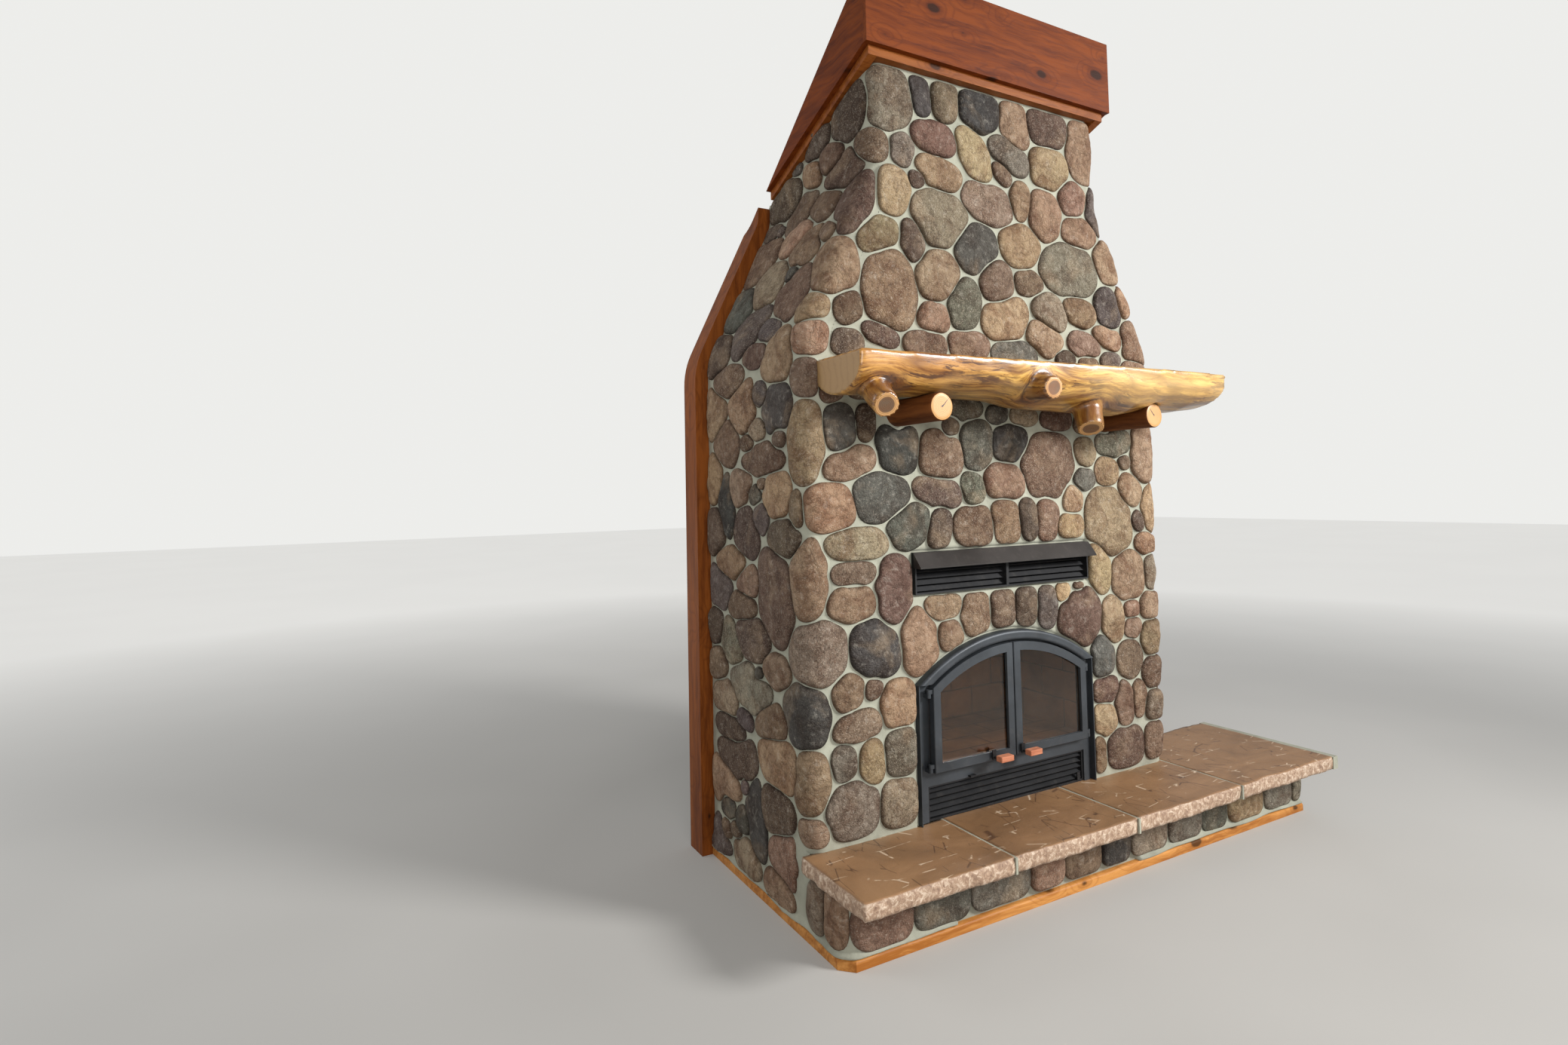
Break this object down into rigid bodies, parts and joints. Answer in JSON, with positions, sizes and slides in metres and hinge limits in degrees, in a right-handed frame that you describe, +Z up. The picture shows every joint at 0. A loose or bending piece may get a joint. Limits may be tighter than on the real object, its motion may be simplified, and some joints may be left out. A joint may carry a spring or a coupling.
{
  "type": "stone fireplace with raised hearth, log mantel and arched insert",
  "caption": "River-stone fireplace that narrows to a chimney neck, with a raised slab hearth, a half-log mantel and an arched steel insert behind glazed doors.",
  "frame": {"origin": "on the floor, at the centre of the chimney breast's footprint", "axes": "+Z up, -Y out of the fireplace into the room, +X to the right for someone who faces it"},
  "size_m": [2.442, 1.2501, 3.288],
  "materials": {
    "river_stone": "rounded cobbles of mixed colours in pale recessed mortar",
    "mortar": "brushed pale mortar",
    "sandstone": "natural cleft top, rock-faced edge",
    "firebrick": "sooty firebrick",
    "varnished_log": "peeled pine log, amber varnish",
    "corbel_wood": "stained log, satin",
    "trim_wood": "varnished pine trim",
    "cedar": "knotty red cedar, satin",
    "charcoal_steel": "satin heat-resistant paint",
    "black_steel": "matt black heat-resistant paint",
    "bronze_steel": "satin bronze-grey paint",
    "door_glass": "smoke-tinted ceramic glass",
    "grip_wood": "oiled hardwood"
  },
  "bodies": {
    "root": {"chimney_base": "river_stone", "hearth_plinth": "river_stone", "left_pier": "river_stone", "right_pier": "river_stone", "firebox_backing": "river_stone", "arch_head": "river_stone", "chimney_breast": "river_stone", "hearth_slab_1": "sandstone", "hearth_slab_2": "sandstone", "hearth_slab_3": "sandstone", "hearth_slab_4": "sandstone", "slab_grout": "mortar", "base_trim": "trim_wood", "scribe_boards": "trim_wood", "header_board": "cedar", "header_strip": "trim_wood", "side_boards": "cedar", "side_strips": "trim_wood", "left_corbel": "corbel_wood", "right_corbel": "corbel_wood", "mantel_log": "varnished_log", "insert_surround": "charcoal_steel", "arch_hood": "charcoal_steel", "lower_grille": "black_steel", "firebox_floor": "firebrick", "firebox_back": "firebrick", "firebox_left_wall": "firebrick", "firebox_right_wall": "firebrick", "firebox_vault": "black_steel", "vent_frame": "black_steel", "vent_louvres": "black_steel", "vent_hood": "bronze_steel", "hinge_lugs": "charcoal_steel", "air_controls": "black_steel"},
    "left_door": {"left_door_frame": "charcoal_steel", "left_door_glass": "door_glass", "left_hinge_knuckles": "charcoal_steel"},
    "right_door": {"right_door_frame": "charcoal_steel", "right_door_glass": "door_glass", "right_hinge_knuckles": "charcoal_steel"},
    "left_latch": {"left_latch_lever": "black_steel", "left_latch_grip": "grip_wood"},
    "right_latch": {"right_latch_lever": "black_steel", "right_latch_grip": "grip_wood"}
  },
  "joints": [
    {"name": "left_door_hinge", "type": "hinge", "parent": "root", "child": "left_door", "pos_m": [-0.393, -0.464, 0.6], "axis": [0, 0, -1], "range_deg": [0, 110]},
    {"name": "right_door_hinge", "type": "hinge", "parent": "root", "child": "right_door", "pos_m": [0.393, -0.464, 0.6], "axis": [0, 0, 1], "range_deg": [0, 110]},
    {"name": "left_latch_turn", "type": "hinge", "parent": "left_door", "child": "left_latch", "pos_m": [-0.118, -0.464, 0.4685], "axis": [0, -1, 0], "range_deg": [0, 60]},
    {"name": "right_latch_turn", "type": "hinge", "parent": "right_door", "child": "right_latch", "pos_m": [0.024, -0.464, 0.4685], "axis": [0, -1, 0], "range_deg": [0, 60]}
  ]
}
